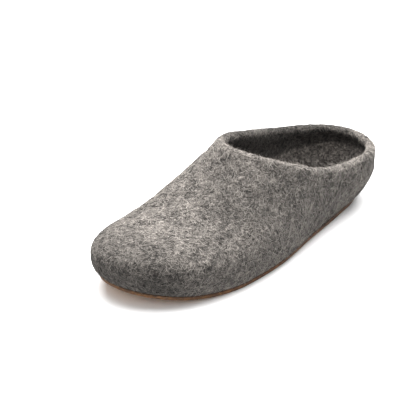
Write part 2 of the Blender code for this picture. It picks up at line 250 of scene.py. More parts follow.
def smooth_curve(xs, ys):
    """The natural cubic spline through the points, as a function."""
    xs, ys = np.asarray(xs, float), np.asarray(ys, float)
    steps = np.diff(xs)
    last = len(xs) - 1
    system = np.eye(last + 1)
    bend = np.zeros(last + 1)
    for i in range(1, last):
        system[i, i - 1 : i + 2] = steps[i - 1], 2 * (steps[i - 1] + steps[i]), steps[i]
        bend[i] = 6 * ((ys[i + 1] - ys[i]) / steps[i] - (ys[i] - ys[i - 1]) / steps[i - 1])
    second = np.linalg.solve(system, bend)

    def at(x):
        x = np.clip(x, xs[0], xs[-1])
        i = np.clip(np.searchsorted(xs, x) - 1, 0, last - 1)
        after, before, step = x - xs[i], xs[i + 1] - x, steps[i]
        cubic = (second[i] * before**3 + second[i + 1] * after**3) / (6 * step)
        start = (ys[i] / step - second[i] * step / 6) * before
        end = (ys[i + 1] / step - second[i + 1] * step / 6) * after
        return cubic + start + end

    return at


def section_curve(column, size=1.0):
    along = [row.along * LENGTH for row in SECTIONS]
    return smooth_curve(along, [getattr(row, column) * size for row in SECTIONS])


LATERAL = section_curve("lateral", BALL_WIDTH)
MEDIAL = section_curve("medial", BALL_WIDTH)
RIDGE = section_curve("ridge", BALL_WIDTH)
GIRTH = section_curve("girth", INSTEP_HEIGHT)
CROWN = section_curve("crown", INSTEP_HEIGHT)
ROUNDNESS = section_curve("roundness")
FULLNESS = section_curve("fullness")
LATERAL_DROP = smooth_curve([row.back for row in COLLAR], [row.lateral for row in COLLAR])
MEDIAL_DROP = smooth_curve([row.back for row in COLLAR], [row.medial for row in COLLAR])


def rounded_end(distance, reach, power):
    """0 at the end and 1 from reach on, along a quarter of a superellipse."""
    left = np.clip(1 - distance / reach, 0, 1)
    return np.clip(1 - left**power, 0, 1) ** (1 / power)


def eased(share):
    share = np.clip(share, 0, 1)
    return share * share * (3 - 2 * share)


def widest_edges(y):
    """x of the lateral and of the medial edge of the widest line."""
    from_toe, from_heel = y - TOE_Y, HEEL_Y - y
    toe_tip, heel_tip = TOE_TIP_ACROSS * BALL_WIDTH, HEEL_TIP_ACROSS * BALL_WIDTH
    edges = []
    for full, reach, power in (
        (LATERAL(from_toe), LATERAL_TOE_CURVE, LATERAL_TOE_POWER),
        (-MEDIAL(from_toe), MEDIAL_TOE_CURVE, MEDIAL_TOE_POWER),
    ):
        toe = toe_tip + (full - toe_tip) * rounded_end(from_toe, reach, power)
        heel = heel_tip + (full - heel_tip) * rounded_end(from_heel, HEEL_CURVE, HEEL_POWER)
        edges.append(np.where(from_heel < HEEL_CURVE, heel, toe))
    return edges


def ridge_x(y):
    """x of the line along the top of the foot, run into the two tips."""
    toe_tip, heel_tip = TOE_TIP_ACROSS * BALL_WIDTH, HEEL_TIP_ACROSS * BALL_WIDTH
    x = toe_tip + (RIDGE(y - TOE_Y) - toe_tip) * eased((y - TOE_Y) / TIP_RUN_IN)
    return heel_tip + (x - heel_tip) * eased((HEEL_Y - y) / TIP_RUN_IN)


def ground_gap(y):
    """Height of the outsole's underside: toe spring, arch and heel spring."""
    from_toe, from_heel = y - TOE_Y, HEEL_Y - y
    toe = np.clip(1 - from_toe / TOE_SPRING_LENGTH, 0, 1)
    heel = np.clip(1 - from_heel / HEEL_SPRING_LENGTH, 0, 1)
    arch = np.clip((from_toe - ARCH_START) / (ARCH_END - ARCH_START), 0, 1)
    return TOE_SPRING * toe**2 + HEEL_SPRING * heel**2 + ARCH_LIFT * np.sin(math.pi * arch) ** 2


def felt_under(y):
    """Height of the felt's underside."""
    return ground_gap(y) + SOLE_THICKNESS + FIT_GAP


def felt_floor(y):
    return felt_under(y) + FLOOR_THICKNESS


def girth_z(y):
    return ground_gap(y) + GIRTH(y - TOE_Y)


def crown_z(y):
    girth = girth_z(y)
    toe = rounded_end(y - TOE_Y, TOE_BOX_CURVE, TOE_BOX_POWER)
    heel = rounded_end(HEEL_Y - y, HEEL_BACK_CURVE, HEEL_BACK_POWER)
    return girth + (CROWN(y - TOE_Y) - girth) * toe * heel


def section_at(y):
    """Ridge, half widths, girth, crown and the two powers of the cross-section at y."""
    lateral, medial = widest_edges(y)
    ridge = ridge_x(y)
    along = y - TOE_Y
    widths = lateral - ridge, ridge - medial
    return ridge, *widths, girth_z(y), crown_z(y), ROUNDNESS(along), FULLNESS(along)


def outside_last(points):
    """Positive where a point above the girth lies outside the closed last."""
    x, y, z = points[..., 0], points[..., 1], points[..., 2]
    inside_y = np.clip(y, TOE_Y + TINY, HEEL_Y - TINY)
    ridge, lateral, medial, girth, crown, roundness, fullness = section_at(inside_y)
    half = np.maximum(np.where(x > ridge, lateral, medial), TINY)
    across = np.abs(x - ridge) / half
    up = np.clip(z - girth, 0, None) / np.maximum(crown - girth, TINY)
    return np.where(y == inside_y, across**roundness + up**fullness - 1, 1.0)


def last_surface(cores, directions):
    """Where each ray from inside leaves the last."""
    near = np.zeros(cores.shape[:-1])
    far = np.full(cores.shape[:-1], LENGTH)
    for _ in range(RAY_HALVINGS):
        middle = (near + far) / 2
        out = outside_last(cores + directions * middle[..., None]) > 0
        far = np.where(out, middle, far)
        near = np.where(out, near, middle)
    return cores + directions * near[..., None]


def collar_z(y, side):
    back = (y - TOE_Y - THROAT_ALONG) / (LENGTH - THROAT_ALONG)
    drop = np.where(side > 0, LATERAL_DROP(back), MEDIAL_DROP(back))
    return crown_z(TOE_Y + THROAT_ALONG) - drop * (INSTEP_HEIGHT - HEEL_HEIGHT)


def collar_points(y, side):
    """Points of the opening's edge, on the lateral (side 1) or the medial (side -1) wall."""
    ridge, lateral, medial, girth, crown, roundness, fullness = section_at(y)
    z = np.minimum(collar_z(y, side), crown)
    up = np.clip((z - girth) / np.maximum(crown - girth, TINY), 0, 1)
    half = np.where(side > 0, lateral, medial)
    across = np.clip(1 - up**fullness, 0, 1) ** (1 / roundness)
    return np.stack([ridge + side * half * across, y, z], -1)


def heel_rim_y():
    y = np.linspace(HEEL_Y - HEEL_BACK_CURVE, HEEL_Y - HEEL_CLEARANCE, HEEL_SAMPLES)
    return y[np.flatnonzero(crown_z(y) > collar_z(y, 1))[-1]]


def unit(vectors):
    return vectors / np.linalg.norm(vectors, axis=-1, keepdims=True)


def points_along(line, shares):
    """Points of the polyline at these shares of its length."""
    run = np.concatenate([[0], np.cumsum(np.linalg.norm(np.diff(line, axis=0), axis=1))])
    want = shares * run[-1]
    return np.stack([np.interp(want, run, line[:, axis]) for axis in range(line.shape[1])], -1)


def widest_ring():
    """The widest line from the toe, back along the lateral side and home along the medial one."""
    y = -LENGTH / 2 * np.cos(np.linspace(0, math.pi, RING_SAMPLES))
    lateral, medial = widest_edges(y)
    step = (np.hypot(np.diff(lateral), np.diff(y)) + np.hypot(np.diff(medial), np.diff(y))) / 2
    run = np.concatenate([[0], np.cumsum(step)])
    y = np.interp(np.linspace(0, run[-1], HALF_SPOKES + 1), run, y)
    lateral, medial = widest_edges(y)
    ring_x = np.concatenate([lateral, medial[-2:0:-1]])
    ring_y = np.concatenate([y, y[-2:0:-1]])
    side = np.concatenate([np.ones(HALF_SPOKES + 1), -np.ones(HALF_SPOKES - 1)])
    return np.stack([ring_x, ring_y, girth_z(ring_y)], -1), side


def wall_lines(widest, side):
    """Each spoke's line on the felt's outer face, from the widest line up to the collar."""
    y = widest[:, 1]
    throat, heel = TOE_Y + THROAT_ALONG, heel_rim_y()

    def spread(value):
        value = value - throat
        return (value + np.sqrt(value**2 + THROAT_SOFTNESS**2)) / 2

    share = (spread(y) - spread(TOE_Y)) / (spread(HEEL_Y) - spread(TOE_Y))
    collar = collar_points(throat + (heel - throat) * share, side)
    core_y = np.clip(y, TOE_Y + CORE_FROM_TOE, HEEL_Y - CORE_FROM_HEEL)
    core = np.stack([ridge_x(core_y), core_y, girth_z(core_y)], -1)
    first, final = unit(widest - core), unit(collar - core)
    angle = np.arccos(np.clip((first * final).sum(1), -1, 1))[:, None, None]
    turn = np.linspace(0, 1, RAYS)[None, :, None]
    directions = np.sin((1 - turn) * angle) * first[:, None] + np.sin(turn * angle) * final[:, None]
    directions = directions / np.sin(angle)
    lines = last_surface(np.broadcast_to(core[:, None], directions.shape), directions)
    shares = np.linspace(0, 1, WALL_ROWS) ** ROW_CROWDING
    return np.array([points_along(line, shares) for line in lines])


def plan_normals(ring):
    """Outward normals, in plan, of a ring that runs from the toe along the lateral side."""
    along = np.roll(ring, -1, 0) - np.roll(ring, 1, 0)
    return unit(np.stack([along[:, 1], -along[:, 0]], -1))


def inset_ring(widest, inset, height):
    """The widest line moved inwards in plan, at the height that a function of y gives."""
    flat = widest[:, :2] - plan_normals(widest) * inset[:, None]
    return np.column_stack([flat, height(flat[:, 1])])


def turned_under(widest, out, inset, height, heel_tuck=TOE_TUCK):
    """Rings of the turn from the inset edge at the bottom up to the widest line, itself left out."""
    heelward = eased((widest[:, 1] - TOE_Y - HEEL_TUCK_START) / HEEL_TUCK_REACH)
    power = 2 / (TOE_TUCK + (heel_tuck - TOE_TUCK) * heelward)
    rings = []
    for turn in np.linspace(0, math.pi / 2, TURN_ROWS + 1)[:-1]:
        ring = inset_ring(widest, out + inset * (1 - math.sin(turn) ** power), height)
        ring[:, 2] += (widest[:, 2] - ring[:, 2]) * (1 - math.cos(turn) ** power)
        rings.append(ring)
    return rings


def rim_thickness():
    """Thickness of the felt at each row of the wall: it swells towards the rolled rim."""
    up = np.linspace(0, 1, WALL_ROWS)
    return FELT_THICKNESS + RIM_SWELL * eased((up - RIM_SWELL_START) / RIM_SWELL_REACH)


def wall_normals(lines):
    """Outward normals of the wall lines."""
    around = np.roll(lines, -1, 0) - np.roll(lines, 1, 0)
    up = np.gradient(lines, axis=1)
    return unit(np.cross(around, up))


def rim_rings(collar, normals, up):
    """The rounded top of the wall, from the outer face over to the inner one."""
    radius = (FELT_THICKNESS + RIM_SWELL) / 2
    rings = []
    for turn in np.linspace(0, math.pi, RIM_ROWS + 1)[1:-1]:
        offset = (math.cos(turn) - 1) * normals + math.sin(turn) * up
        rings.append(collar + radius * offset)
    return rings


def sole_inset(y):
    """How far the leather's edge lies inside the widest line."""
    along = [row.along * LENGTH for row in SOLE_INSET]
    return smooth_curve(along, [row.inset for row in SOLE_INSET])(y - TOE_Y)


def footbed_bottom(y):
    return felt_floor(y) + FIT_GAP


def footbed_top(y):
    return footbed_bottom(y) + INSOLE_THICKNESS


def sole_top(y):
    return ground_gap(y) + SOLE_THICKNESS


# Meshes of the visible pieces.


def new_object(name, data):
    made = bpy.data.objects.new(name, data)
    bpy.context.scene.collection.objects.link(made)
    return made


def bridge(faces, lower, upper):
    """A band of faces between two rings of as many vertices."""
    count = len(lower)
    for i in range(count):
        j = (i + 1) % count
        faces.append((lower[i], lower[j], upper[j], upper[i]))


def cover(vertices, faces, ring, height):
    """A floor inside a ring, of straight rungs from the lateral to the medial side."""
    count, half = len(ring), len(ring) // 2
    rungs = []
    for i in range(1, half):
        start, end = np.array(vertices[ring[i]]), np.array(vertices[ring[count - i]])
        rung = [ring[i]]
        for cell in range(1, FLOOR_CELLS):
            point = start + (end - start) * cell / FLOOR_CELLS
            point[2] = height(point[1])
            vertices.append(tuple(point))
            rung.append(len(vertices) - 1)
        rung.append(ring[count - i])
        rungs.append(rung)
    for cell in range(FLOOR_CELLS):
        faces.append((ring[0], rungs[0][cell + 1], rungs[0][cell]))
        faces.append((ring[half], rungs[-1][cell], rungs[-1][cell + 1]))
    for front, back in zip(rungs, rungs[1:]):
        for cell in range(FLOOR_CELLS):
            faces.append((front[cell], front[cell + 1], back[cell + 1], back[cell]))


def piece_from_rings(name, rings, first_height, last_height, centre):
    """A closed mesh from a stack of rings, covered at both ends."""
    vertices, faces, numbered = [], [], []
    for ring in rings:
        numbered.append(list(range(len(vertices), len(vertices) + len(ring))))
        vertices.extend(map(tuple, ring))
    for lower, upper in zip(numbered, numbered[1:]):
        bridge(faces, lower, upper)
    cover(vertices, faces, numbered[0], first_height)
    cover(vertices, faces, numbered[-1], last_height)
    mesh = bpy.data.meshes.new(name)
    mesh.from_pydata([(x - centre, y, z) for x, y, z in vertices], [], faces)
    shape = bmesh.new()
    shape.from_mesh(mesh)
    bmesh.ops.recalc_face_normals(shape, faces=shape.faces)
    shape.to_mesh(mesh)
    shape.free()
    mesh.shade_smooth()
    return new_object(name, mesh)


def vertex_values(source, what):
    values = np.zeros(len(source) * 3, np.float32)
    source.foreach_get(what, values)
    return values.reshape(-1, 3).astype(float)


def vertex_places(mesh):
    return vertex_values(mesh.vertices, "co")


def vertex_normals(mesh):
    return vertex_values(mesh.vertex_normals, "vector")


def move_vertices(mesh, places):
    mesh.vertices.foreach_set("co", places.astype(np.float32).ravel())
    mesh.update()


def lumpiness(points, size, seed):
    """Smooth noise from about -1 to 1 whose lumps are about this big."""
    shift = Vector((seed * 7.31, seed * 3.17, seed * 5.73))
    return np.array([noise.noise(Vector(p) / size + shift) for p in points])


def lumps_over(points, table):
    """How far the lumps of a table stand out at each point."""
    return sum(row.height * MM * lumpiness(points, row.size * MM, row.seed) for row in table)


def spread_along(points, places):
    """1 on each place's straight run and less around it, times its last value, summed."""
    total = np.zeros(len(points))
    for start, end, half_width, amount in places:
        start, end = np.array(start) * MM, np.array(end) * MM
        run = end - start
        share = np.clip((points - start) @ run / (run @ run), 0, 1)
        away = np.linalg.norm(points - start - share[:, None] * run, axis=1)
        total += amount * np.exp(-((away / (half_width * MM)) ** 2))
    return total


def felt_shape(mesh, lip, groove):
    """Gives the felt its lumps, hollows and uneven rim. It stays still near the sole."""
    points, normals = vertex_places(mesh), vertex_normals(mesh)
    free = eased((points[:, 2] - felt_under(points[:, 1])) / FREE_OF_SOLE)
    lumps = lumps_over(points, FELT_LUMPS) + lip * lumps_over(points, RIM_LUMPS)
    wandering_depth = 1 + GROOVE_UNEVENNESS * lumpiness(points, GROOVE_LUMP_SIZE, GROOVE_SEED)
    lumps -= RIM_GROOVE * groove * wandering_depth
    out = (lumps - MM * spread_along(points, DENTS)) * free
    move_vertices(mesh, points + normals * out[:, None])


def paint(mesh, name, values):
    """Stores one number for each vertex, for a material or a Geometry Nodes tree to read."""
    layer = mesh.attributes.new(name, "FLOAT", "POINT")
    layer.data.foreach_set("value", np.asarray(values, np.float32))


# Materials.


def new_material(name):
    material = bpy.data.materials.new(name)
    material.use_nodes = True
    tree = material.node_tree
    tree.nodes.clear()
    output = tree.nodes.new("ShaderNodeOutputMaterial")
    shader = tree.nodes.new("ShaderNodeBsdfPrincipled")
    tree.links.new(shader.outputs["BSDF"], output.inputs["Surface"])
    return material, tree, shader


def put(tree, kind, inputs=None, **settings):
    """Adds a node. Inputs are values or sockets, by name or by number."""
    made = tree.nodes.new(kind)
    for key, value in settings.items():
        setattr(made, key, value)
    for key, value in (inputs or {}).items():
        if isinstance(value, bpy.types.NodeSocket):
            tree.links.new(value, made.inputs[key])
        else:
            made.inputs[key].default_value = value
    return made


def painted(tree, name):
    """The number painted on the mesh under this name."""
    return put(tree, "ShaderNodeAttribute", attribute_name=name).outputs["Fac"]


def maths(tree, operation, *values):
    return put(tree, "ShaderNodeMath", dict(enumerate(values)), operation=operation).outputs[0]


def times(tree, first, second):
    return maths(tree, "MULTIPLY", first, second)


def remap(tree, value, low, high, to_low=0.0, to_high=1.0):
    inputs = {"Value": value, "From Min": low, "From Max": high, "To Min": to_low, "To Max": to_high}
    return put(tree, "ShaderNodeMapRange", inputs, clamp=True).outputs["Result"]


def blend_colours(tree, share, first, second, kind="MIX"):
    """Runs from the first colour to the second. 0, 6 and 7 are the node's sockets for colours."""
    inputs = {0: share, 6: first, 7: second}
    inputs = {key: (*value, 1) if isinstance(value, tuple) else value for key, value in inputs.items()}
    return put(tree, "ShaderNodeMix", inputs, data_type="RGBA", blend_type=kind).outputs[2]


def weighted_sum(tree, *terms):
    """The sum of the terms, each a socket and its weight."""
    total, *others = [times(tree, value, weight) for value, weight in terms]
    for part in others:
        total = maths(tree, "ADD", total, part)
    return total


def speckle(tree, where, size, detail=2.0, roughness=0.5):
    """Noise whose grains are about this big, in metres."""
    inputs = {"Vector": where, "Scale": 1 / size, "Detail": detail, "Roughness": roughness}
    return put(tree, "ShaderNodeTexNoise", inputs)


def grains(tree, where, low, high, to_low=0.0, to_high=1.0, **noise_settings):
    """Noise between its low and high values, stretched to run from 0 to 1 or between the other two."""
    value = speckle(tree, where, **noise_settings).outputs["Fac"]
    return remap(tree, value, low, high, to_low, to_high)


def vector_maths(tree, operation, first, second):
    key = "Scale" if operation == "SCALE" else 1
    return put(tree, "ShaderNodeVectorMath", {0: first, key: second}, operation=operation).outputs[0]


def wandering(tree, where, size, amount, shift):
    """The coordinates pushed about, so that a pattern on them curls."""
    moved = vector_maths(tree, "ADD", where, (shift, 2 * shift, -shift))
    push = speckle(tree, moved, size, 1.5).outputs["Color"]
    push = vector_maths(tree, "SUBTRACT", push, (0.5, 0.5, 0.5))
    return vector_maths(tree, "ADD", moved, vector_maths(tree, "SCALE", push, amount))


def curls(tree, where, size, width):
    """Thin curling lines, 1 on a fibre and 0 between: where smooth noise passes its middle value."""
    value = speckle(tree, where, size, 0.6).outputs["Fac"]
    away = maths(tree, "ABSOLUTE", maths(tree, "SUBTRACT", value, 0.5))
    return remap(tree, away, 0.0, width, 1.0, 0.0)


def shaded(tree, colour):
    """The colour times the painted light and shade on the felt, which is handed on to its strands."""
    depth = painted(tree, "painted_light_and_shade")
    depth = put(tree, "ShaderNodeCombineColor", {0: depth, 1: depth, 2: depth}).outputs[0]
    return blend_colours(tree, 1.0, colour, depth, "MULTIPLY")


def light_patches(tree, place):
    """Where felt and strands are paler, from 0 to 1, in big clouds and smaller clumps."""
    clouds = grains(tree, place, 0.37, 0.63, size=0.026, detail=3.0, roughness=0.6)
    clumps = grains(tree, place, 0.38, 0.62, size=0.0085, detail=2.0, roughness=0.6)
    return weighted_sum(tree, (clouds, 0.42), (clumps, 0.58))


def wool_felt(name):
    """Matted wool: charcoal and beige fibres that curl through each other, mottled."""
    material, tree, shader = new_material(name)
    place = put(tree, "ShaderNodeTexCoord").outputs["Object"]
    curly = wandering(tree, place, size=0.008, amount=0.010, shift=0.13)
    finer = wandering(tree, place, size=0.0035, amount=0.0045, shift=0.41)
    crossing = wandering(tree, place, size=0.005, amount=0.006, shift=0.77)
    locks = curls(tree, curly, size=0.0040, width=0.060)
    hairs = curls(tree, finer, size=0.0026, width=0.075)
    shadows = curls(tree, crossing, size=0.0034, width=0.090)
    patches = light_patches(tree, place)
    tufts = grains(tree, curly, 0.38, 0.62, size=0.0042, detail=3.0, roughness=0.65)
    pits = grains(tree, finer, 0.34, 0.50, 1.0, 0.0, size=0.0021, detail=2.0, roughness=0.6)

    # The tone runs from charcoal to grey, and the fibres lie on it in beige.
    tone = weighted_sum(tree, (patches, 0.62), (tufts, 0.50))
    # Painted light and shade on the felt, and its toe wall's darker wool, added to the tone.
    tone_and_painted_light = painted(tree, "pale")
    tone = put(tree, "ShaderNodeClamp", {"Value": maths(tree, "ADD", tone, tone_and_painted_light)}).outputs[0]
    fibres = maths(tree, "MAXIMUM", locks, times(tree, hairs, 0.8))
    colour = blend_colours(tree, tone, CHARCOAL, GREY)
    light = times(tree, fibres, maths(tree, "MULTIPLY_ADD", tone, 0.60, 0.25))
    colour = blend_colours(tree, light, colour, BEIGE)
    # Painted shade: thin curling shadows between the fibres, and the pits, darken towards a deeper
    # charcoal.
    painted_gap_shade = maths(tree, "MAXIMUM", times(tree, shadows, 0.7), pits)
    darkest = tuple(0.45 * part for part in CHARCOAL)
    colour = blend_colours(tree, times(tree, painted_gap_shade, 0.68), colour, darkest)
    # The painted light and shade multiply the colour.
    tree.links.new(shaded(tree, colour), shader.inputs["Base Color"])

    height = weighted_sum(tree, (fibres, 1.0), (tufts, 1.2), (pits, -1.1))
    relief = put(tree, "ShaderNodeBump", {"Strength": 1.0, "Distance": 0.0005, "Height": height})
    tree.links.new(relief.outputs[0], shader.inputs["Normal"])
    shader.inputs["Roughness"].default_value = 0.97
    shader.inputs["Specular IOR Level"].default_value = 0.12
    shader.inputs["Sheen Weight"].default_value = 0.12
    shader.inputs["Sheen Roughness"].default_value = 0.55
    shader.inputs["Sheen Tint"].default_value = WOOL_SHEEN
    return material


def loose_wool(name, dark, light):
    """Single fibres, each with its own tone."""
    material, tree, shader = new_material(name)
    strand = painted(tree, "strand")
    place = put(tree, "ShaderNodeTexCoord").outputs["Object"]
    uneven = grains(tree, place, 0.3, 0.7, -0.15, 0.15, size=0.002, detail=1.0)
    tone = put(tree, "ShaderNodeClamp", {"Value": maths(tree, "ADD", strand, uneven)}).outputs[0]
    colour = blend_colours(tree, tone, dark, light)
    # The felt's painted light and shade fall on the fibres too.
    tree.links.new(shaded(tree, colour), shader.inputs["Base Color"])
    shader.inputs["Roughness"].default_value = 0.9
    shader.inputs["Specular IOR Level"].default_value = 0.15
    shader.inputs["Sheen Weight"].default_value = 0.1
    return material


def tan_leather(name):
    """Sole leather: fine grain, a raw cut edge in layers, and a dark line of painted shade under the
    felt.
    """
    material, tree, shader = new_material(name)
    place = put(tree, "ShaderNodeTexCoord").outputs["Object"]
    edge = painted(tree, "cut_edge")
    overhang_shade_mask = painted(tree, "overhang_shade")
    stretched = put(tree, "ShaderNodeMapping", {"Vector": place, "Scale": (1, 1, 6)}).outputs[0]
    layers = grains(tree, stretched, 0.32, 0.68, size=0.004, detail=3.0, roughness=0.6)
    stains = grains(tree, place, 0.35, 0.65, size=0.035, detail=4.0, roughness=0.65)
    chips = grains(tree, place, 0.42, 0.60, 0.45, 1.0, size=0.006, detail=2.0, roughness=0.6)
    pores = {"Vector": place, "Scale": 1100.0}
    pores = put(tree, "ShaderNodeTexVoronoi", pores, feature="DISTANCE_TO_EDGE").outputs["Distance"]
    grain = remap(tree, pores, 0.0, 0.18)

    face = blend_colours(tree, stains, *LEATHER_FACE)
    face = blend_colours(tree, times(tree, grain, 0.35), face, LEATHER_GRAIN)
    cut = blend_colours(tree, chips, LEATHER_CHIP, blend_colours(tree, layers, *LEATHER_CUT))
    colour = blend_colours(tree, edge, face, cut)
    # Painted shade: the top of the edge darkens where the felt overhangs it.
    colour = blend_colours(tree, times(tree, overhang_shade_mask, 0.92), colour, OVERHANG_SHADE_COLOUR)
    tree.links.new(colour, shader.inputs["Base Color"])

    height = weighted_sum(tree, (grain, 0.5), (layers, 1.0))
    relief = put(tree, "ShaderNodeBump", {"Strength": 0.5, "Distance": 0.0003, "Height": height})
    tree.links.new(relief.outputs[0], shader.inputs["Normal"])
    tree.links.new(remap(tree, stains, 0.0, 1.0, 0.55, 0.78), shader.inputs["Roughness"])
    shader.inputs["Specular IOR Level"].default_value = 0.3
    return material


def white_floor(name):
    material, _, shader = new_material(name)
    shader.inputs["Base Color"].default_value = FLOOR_WHITE
    shader.inputs["Roughness"].default_value = 1.0
    shader.inputs["Specular IOR Level"].default_value = 0.0
    return material


# Loose wool, by Geometry Nodes.

# The tree's inputs, in the order of the columns of Fibres after the name, with the wool first.
STRAND_SIZES = (
    "Per square metre", "Length", "Length spread", "Thickness", "Curl size", "Curl depth", "Height",
    "Free ends", "Patchiness",
)
STRAND_INPUTS = {"Wool": "Material", **dict.fromkeys(STRAND_SIZES, "Float")}
STRAND_INPUTS.update({"Points": "Int", "Seed": "Int"})
TURN_SEED_SHIFT, SIZE_SEED_SHIFT = 11.0, 23.0
CURL_VARIETY = 900.0
FREE_END_POWER = 3.0
THIN_END = 0.35
TUBE_SIDES = 3


def random_number(tree, seed, low=0.0, high=1.0):
    """An even random number for each point. 2 and 3 are the node's sockets for its two ends."""
    inputs = {2: low, 3: high, "Seed": seed}
    return put(tree, "FunctionNodeRandomValue", inputs).outputs[1]


def named_attribute(tree, name):
    return put(tree, "GeometryNodeInputNamedAttribute", {"Name": name}).outputs["Attribute"]


def scattered_points(tree, start):
    """Points over the felt, as dense as its nap and its light patches say, each with its own tone."""
    place = put(tree, "GeometryNodeInputPosition").outputs[0]
    density = times(tree, named_attribute(tree, "nap"), start["Per square metre"])
    clouds = maths(tree, "MULTIPLY_ADD", light_patches(tree, place), 2.0, -1.0)
    clouds = maths(tree, "MULTIPLY_ADD", clouds, start["Patchiness"], 1.0)
    inputs = {
        "Mesh": start["Felt"],
        "Density": times(tree, density, clouds),
        "Seed": start["Seed"],
    }
    scatter = put(tree, "GeometryNodeDistributePointsOnFaces", inputs)
    inputs = {
        "Geometry": scatter.outputs["Points"],
        "Name": "strand",
        "Value": random_number(tree, start["Seed"]),
    }
    toned = put(tree, "GeometryNodeStoreNamedAttribute", inputs).outputs[0]
    return toned, scatter.outputs["Rotation"]


def straight_strands(tree, start):
    """A straight line on every point, lying on the felt and turned at random."""
    points, upright = scattered_points(tree, start)
    half = times(tree, start["Length"], 0.5)
    left = put(tree, "ShaderNodeCombineXYZ", {"X": times(tree, half, -1.0)})
    right = put(tree, "ShaderNodeCombineXYZ", {"X": half})
    line = {"Start": left.outputs[0], "End": right.outputs[0]}
    line = put(tree, "GeometryNodeCurvePrimitiveLine", line).outputs[0]
    line = {"Curve": line, "Count": start["Points"]}
    line = put(tree, "GeometryNodeResampleCurve", line).outputs[0]

    seed = maths(tree, "ADD", start["Seed"], TURN_SEED_SHIFT)
    about = put(tree, "ShaderNodeCombineXYZ", {"Z": random_number(tree, seed, 0.0, 2 * math.pi)})
    about = put(tree, "FunctionNodeEulerToRotation", {"Euler": about.outputs[0]}).outputs[0]
    turned = {"Rotation": upright, "Rotate By": about}
    turned = put(tree, "FunctionNodeRotateRotation", turned, rotation_space="LOCAL").outputs[0]
    size = random_number(
        tree,
        maths(tree, "ADD", start["Seed"], SIZE_SEED_SHIFT),
        maths(tree, "SUBTRACT", 1.0, start["Length spread"]),
        maths(tree, "ADD", 1.0, start["Length spread"]),
    )
    spread = {"Points": points, "Instance": line, "Rotation": turned, "Scale": size}
    spread = put(tree, "GeometryNodeInstanceOnPoints", spread).outputs[0]
    return put(tree, "GeometryNodeRealizeInstances", {"Geometry": spread}).outputs[0]


def curled_strands(tree, start, strands, own):
    """Pushes the strands about in every direction, each in its own way."""
    wave = {
        "Vector": put(tree, "GeometryNodeInputPosition").outputs[0],
        "W": times(tree, own, CURL_VARIETY),
        "Scale": maths(tree, "DIVIDE", 1.0, start["Curl size"]),
        "Detail": 0.5,
    }
    wave = put(tree, "ShaderNodeTexNoise", wave, noise_dimensions="4D").outputs["Color"]
    push = vector_maths(tree, "SUBTRACT", wave, (0.5, 0.5, 0.5))
    push = vector_maths(tree, "SCALE", push, times(tree, start["Curl depth"], 2.0))
    return put(tree, "GeometryNodeSetPosition", {"Geometry": strands, "Offset": push}).outputs[0]


def laid_strands(tree, start, curled, own, along):
    """Lays the curled strands back onto the felt, with their ends standing free."""
    nearest = put(tree, "GeometryNodeProximity", {"Geometry": start["Felt"]}).outputs["Position"]
    out = put(tree, "GeometryNodeInputNormal").outputs[0]
    out = {"Mesh": start["Felt"], "Value": out, "Sample Position": nearest}
    out = put(tree, "GeometryNodeSampleNearestSurface", out, data_type="FLOAT_VECTOR").outputs[0]
    away = maths(tree, "ABSOLUTE", maths(tree, "MULTIPLY_ADD", along, 2.0, -1.0))
    away = maths(tree, "POWER", away, FREE_END_POWER)
    lift = times(tree, away, times(tree, start["Free ends"], own))
    lift = maths(tree, "ADD", lift, start["Height"])
    laid = vector_maths(tree, "ADD", nearest, vector_maths(tree, "SCALE", out, lift))
    return put(tree, "GeometryNodeSetPosition", {"Geometry": curled, "Position": laid}).outputs[0]


def strands_tree():
    """Fibres scattered over a felt mesh, curled, laid back onto it, and turned into thin tubes."""
    tree = bpy.data.node_groups.new("loose wool strands", "GeometryNodeTree")
    face = tree.interface
    face.new_socket("Felt", in_out="INPUT", socket_type="NodeSocketGeometry")
    for label, kind in STRAND_INPUTS.items():
        face.new_socket(label, in_out="INPUT", socket_type="NodeSocket" + kind)
    face.new_socket("Strands", in_out="OUTPUT", socket_type="NodeSocketGeometry")
    start = tree.nodes.new("NodeGroupInput").outputs
    end = tree.nodes.new("NodeGroupOutput")

    strands = straight_strands(tree, start)
    own = named_attribute(tree, "strand")
    curled = curled_strands(tree, start, strands, own)
    along = put(tree, "GeometryNodeSplineParameter").outputs["Factor"]
    laid = laid_strands(tree, start, curled, own, along)

    thin = maths(tree, "SINE", times(tree, along, math.pi))
    thin = maths(tree, "MULTIPLY_ADD", thin, 1 - THIN_END, THIN_END)
    thin = times(tree, thin, times(tree, start["Thickness"], 0.5))
    outline = put(tree, "GeometryNodeCurvePrimitiveCircle", {"Resolution": TUBE_SIDES}).outputs[0]
    tubes = {"Curve": laid, "Profile Curve": outline, "Scale": thin, "Fill Caps": True}
    tubes = put(tree, "GeometryNodeCurveToMesh", tubes).outputs[0]
    tubes = put(tree, "GeometryNodeRealizeInstances", {"Geometry": tubes}).outputs[0]
    tubes = {"Geometry": tubes, "Material": start["Wool"]}
    tubes = put(tree, "GeometryNodeSetMaterial", tubes).outputs[0]
    tree.links.new(tubes, end.inputs[0])
    return tree


def lay_strands(fibres, felt, wool, tree):
    """Runs the tree on a carrier of a felt piece's mesh and keeps the result as a plain mesh."""
    carrier = new_object(fibres.name + "_carrier", felt.data)
    modifier = carrier.modifiers.new("strands", "NODES")
    modifier.node_group = tree
    inputs = (item for item in tree.interface.items_tree if item.in_out == "INPUT")
    sockets = {item.name: item.identifier for item in inputs}
    for label, value in zip(STRAND_INPUTS, (wool, *fibres[1:])):
        modifier[sockets[label]] = value
    graph = bpy.context.evaluated_depsgraph_get()
    mesh = bpy.data.meshes.new_from_object(carrier.evaluated_get(graph), depsgraph=graph)
    carrier.modifiers.remove(modifier)
    bpy.data.objects.remove(carrier)
    mesh.name = fibres.name
    triangles = sum(len(face.vertices) - 2 for face in mesh.polygons)
    print(fibres.name, len(mesh.polygons), "faces,", triangles, "triangles")
    return new_object(fibres.name, mesh)


# The pieces.


